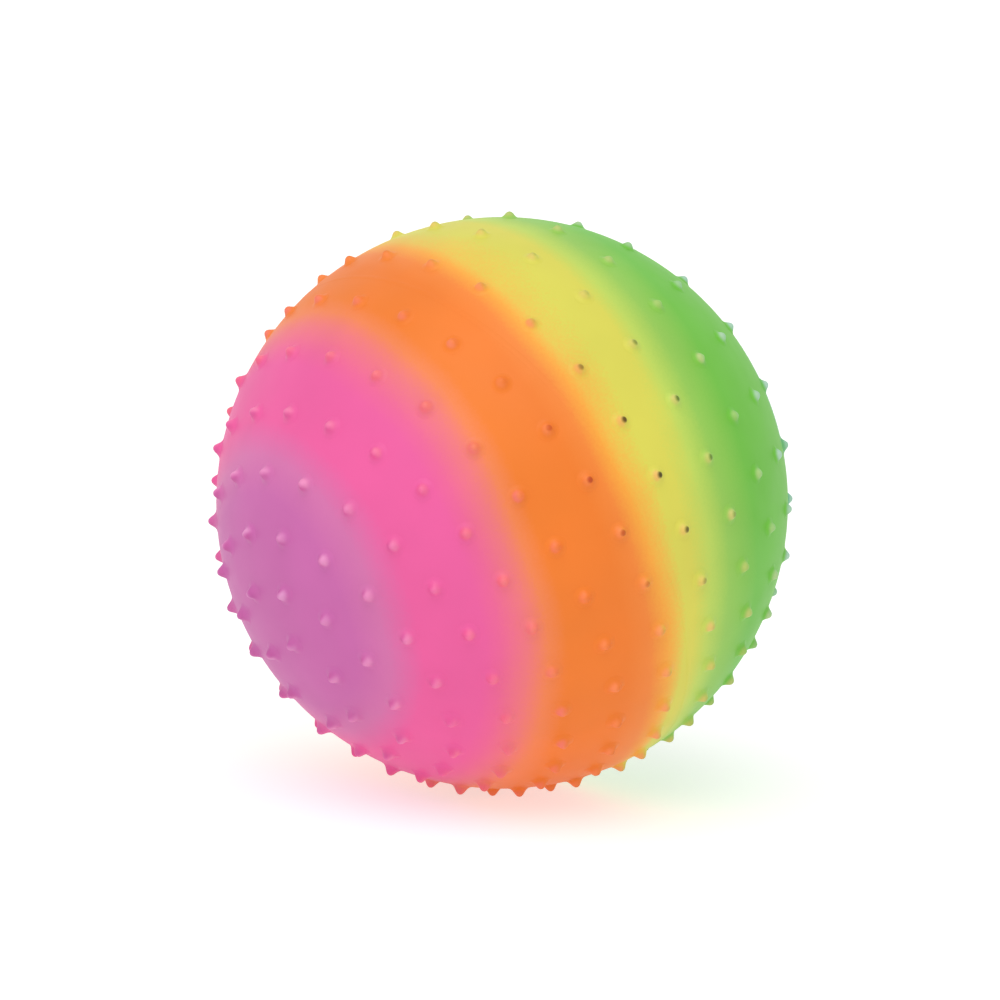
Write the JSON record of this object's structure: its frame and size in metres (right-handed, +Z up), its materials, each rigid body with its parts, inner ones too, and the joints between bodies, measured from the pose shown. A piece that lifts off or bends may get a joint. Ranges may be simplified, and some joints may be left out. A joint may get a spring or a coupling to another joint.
{
  "type": "sensory ball",
  "caption": "Inflatable soft vinyl ball covered in small pointed nubs, in airbrushed rainbow bands, with a push-in air plug on a slide joint.",
  "frame": {"origin": "on the table under the middle of the ball, at the height of the three nub tips that it stands on", "axes": "+Z up, -Y towards the side shown in the picture, +X to its right"},
  "size_m": [0.1773, 0.1769, 0.1773],
  "materials": {
    "painted_vinyl": "soft satin vinyl, airbrushed in bands: violet, pink, orange, yellow, green, turquoise",
    "clear_vinyl": "milky soft vinyl",
    "white_plastic": "smooth white polyethylene"
  },
  "bodies": {
    "ball": {"skin": "painted_vinyl", "valve_seat": "clear_vinyl"},
    "plug": {"valve_plug": "white_plastic"}
  },
  "joints": [
    {"name": "plug_pull", "type": "slide", "parent": "ball", "child": "plug", "axis": [0.7316, 0.607, 0.3103], "range_m": [0, 0.03]}
  ]
}
